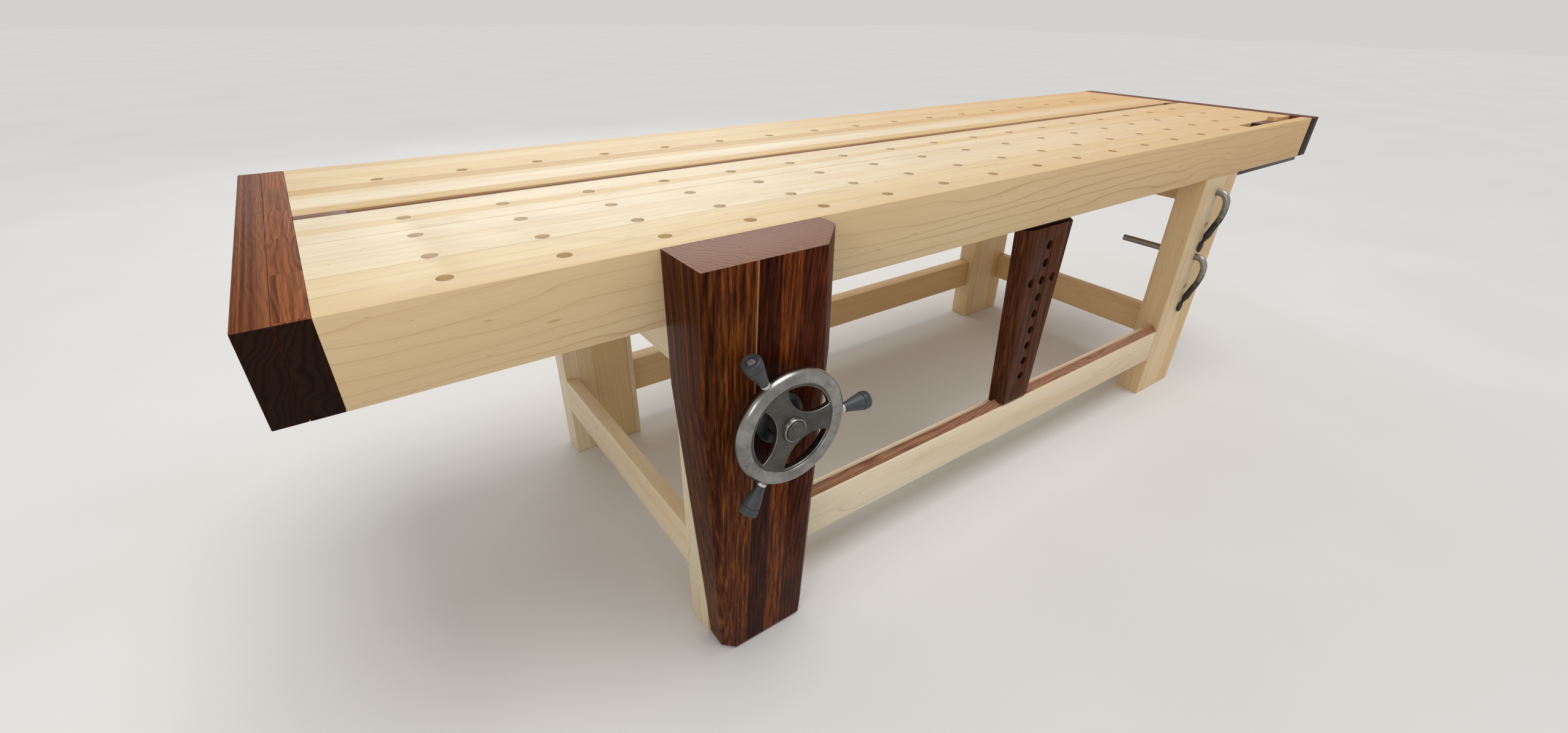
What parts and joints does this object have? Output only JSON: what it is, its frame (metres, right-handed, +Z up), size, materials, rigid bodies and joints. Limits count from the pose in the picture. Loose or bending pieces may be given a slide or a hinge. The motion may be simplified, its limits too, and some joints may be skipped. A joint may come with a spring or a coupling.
{
  "type": "woodworking bench with vises",
  "caption": "Split-top woodworking bench with a leg vise turned by a handwheel, a sliding deadman, a wagon vise, dog holes and holdfasts parked in a leg.",
  "frame": {"origin": "bottom centre of the whole bench's box, on the floor", "axes": "+X along the bench to the wagon vise end, +Y to the back, +Z up"},
  "size_m": [2.675, 0.8864, 0.778],
  "materials": {
    "maple": "oiled pale maple",
    "walnut": "oiled dark walnut",
    "steel": "forged and turned steel",
    "casting": "satin cast metal",
    "dark_iron": "black cast iron",
    "handle_plastic": "charcoal plastic"
  },
  "bodies": {
    "bench": {"slab_front": "maple", "slab_rear": "maple", "leg_front_left": "maple", "leg_front_right": "maple", "leg_rear_left": "maple", "leg_rear_right": "maple", "rail_lower_left": "maple", "rail_lower_right": "maple", "rail_upper_left": "maple", "rail_upper_right": "maple", "stretcher_front": "maple", "stretcher_rear": "maple", "cap_left_outer": "walnut", "cap_left_inner": "walnut", "cap_right": "walnut", "filler_left": "walnut", "filler_right": "walnut", "deadman_track": "walnut", "cap_bolt_left_front": "steel", "cap_bolt_left_rear": "steel", "cap_bolt_right_front": "steel", "cap_bolt_right_rear": "steel", "cross_pin_leg": "steel", "leg_vise_nut": "dark_iron", "tail_flange": "dark_iron", "tail_guide_front": "dark_iron", "tail_guide_rear": "dark_iron"},
    "gap_stop": {"gap_stop": "walnut"},
    "deadman": {"deadman": "walnut"},
    "chop": {"chop": "walnut", "leg_vise_flange": "dark_iron", "cross_pin_chop": "steel"},
    "leg_wheel": {"handwheel": "casting", "hub_cap": "casting", "leg_vise_screw": "steel", "spindle_right": "steel", "spindle_upper": "steel", "spindle_lower": "steel"},
    "handle_right": {"handle_right": "handle_plastic"},
    "handle_upper": {"handle_upper": "handle_plastic"},
    "handle_lower": {"handle_lower": "handle_plastic"},
    "cross_arm_leg": {"cross_arm_leg": "steel"},
    "cross_arm_chop": {"cross_arm_chop": "steel"},
    "dog_block": {"dog_block": "walnut"},
    "bench_dog": {"bench_dog": "maple"},
    "tail_wheel": {"tail_wheel": "casting", "tail_screw": "steel"},
    "holdfast_upper": {"holdfast_upper": "steel"},
    "holdfast_lower": {"holdfast_lower": "steel"}
  },
  "joints": [
    {"name": "chop_slide", "type": "slide", "parent": "bench", "child": "chop", "axis": [0, -1, 0], "range_m": [0, 0.2]},
    {"name": "wheel_turn", "type": "hinge", "parent": "chop", "child": "leg_wheel", "pos_m": [-0.76945, -0.4273, 0.509], "axis": [0, -1, 0], "range_deg": [0, 5700]},
    {"name": "cross_arm_leg_swing", "type": "hinge", "parent": "bench", "child": "cross_arm_leg", "pos_m": [-0.76945, -0.2808, 0.45], "axis": [1, 0, 0], "range_deg": [-36.5, 0]},
    {"name": "cross_arm_chop_swing", "type": "hinge", "parent": "chop", "child": "cross_arm_chop", "pos_m": [-0.76945, -0.3308, 0.45], "axis": [1, 0, 0], "range_deg": [0, 36.5]},
    {"name": "deadman_slide", "type": "slide", "parent": "bench", "child": "deadman", "axis": [1, 0, 0], "range_m": [-0.585, 0.575]},
    {"name": "dog_block_slide", "type": "slide", "parent": "bench", "child": "dog_block", "axis": [1, 0, 0], "range_m": [-0.085, 0.135]},
    {"name": "tail_turn", "type": "hinge", "parent": "bench", "child": "tail_wheel", "pos_m": [1.32255, -0.2628, 0.696], "axis": [1, 0, 0], "range_deg": [-4830, 7660]},
    {"name": "bench_dog_lift", "type": "slide", "parent": "dog_block", "child": "bench_dog", "axis": [0, 0, 1], "range_m": [0, 0.035]},
    {"name": "gap_stop_lift", "type": "slide", "parent": "bench", "child": "gap_stop", "axis": [0, 0, 1], "range_m": [0, 0.06]},
    {"name": "holdfast_upper_pull", "type": "slide", "parent": "bench", "child": "holdfast_upper", "axis": [0, -1, 0], "range_m": [0, 0.2]},
    {"name": "holdfast_lower_pull", "type": "slide", "parent": "bench", "child": "holdfast_lower", "axis": [0, -1, 0], "range_m": [0, 0.2]},
    {"name": "handle_right_spin", "type": "hinge", "parent": "leg_wheel", "child": "handle_right", "pos_m": [-0.63953, -0.4273, 0.50446], "axis": [0.9994, 0, -0.0349], "continuous": true},
    {"name": "handle_upper_spin", "type": "hinge", "parent": "leg_wheel", "child": "handle_upper", "pos_m": [-0.83048, -0.4273, 0.62378], "axis": [-0.4695, 0, 0.8829], "continuous": true},
    {"name": "handle_lower_spin", "type": "hinge", "parent": "leg_wheel", "child": "handle_lower", "pos_m": [-0.83834, -0.4273, 0.39875], "axis": [-0.5299, 0, -0.848], "continuous": true}
  ],
  "couplings": [
    {"joint": "wheel_turn", "follows": "chop_slide", "rad_per_m": 494.74},
    {"joint": "cross_arm_leg_swing", "follows": "chop_slide", "rad_per_m": -3.1415},
    {"joint": "cross_arm_chop_swing", "follows": "chop_slide", "rad_per_m": 3.1415},
    {"joint": "tail_turn", "follows": "dog_block_slide", "rad_per_m": 989.48}
  ]
}
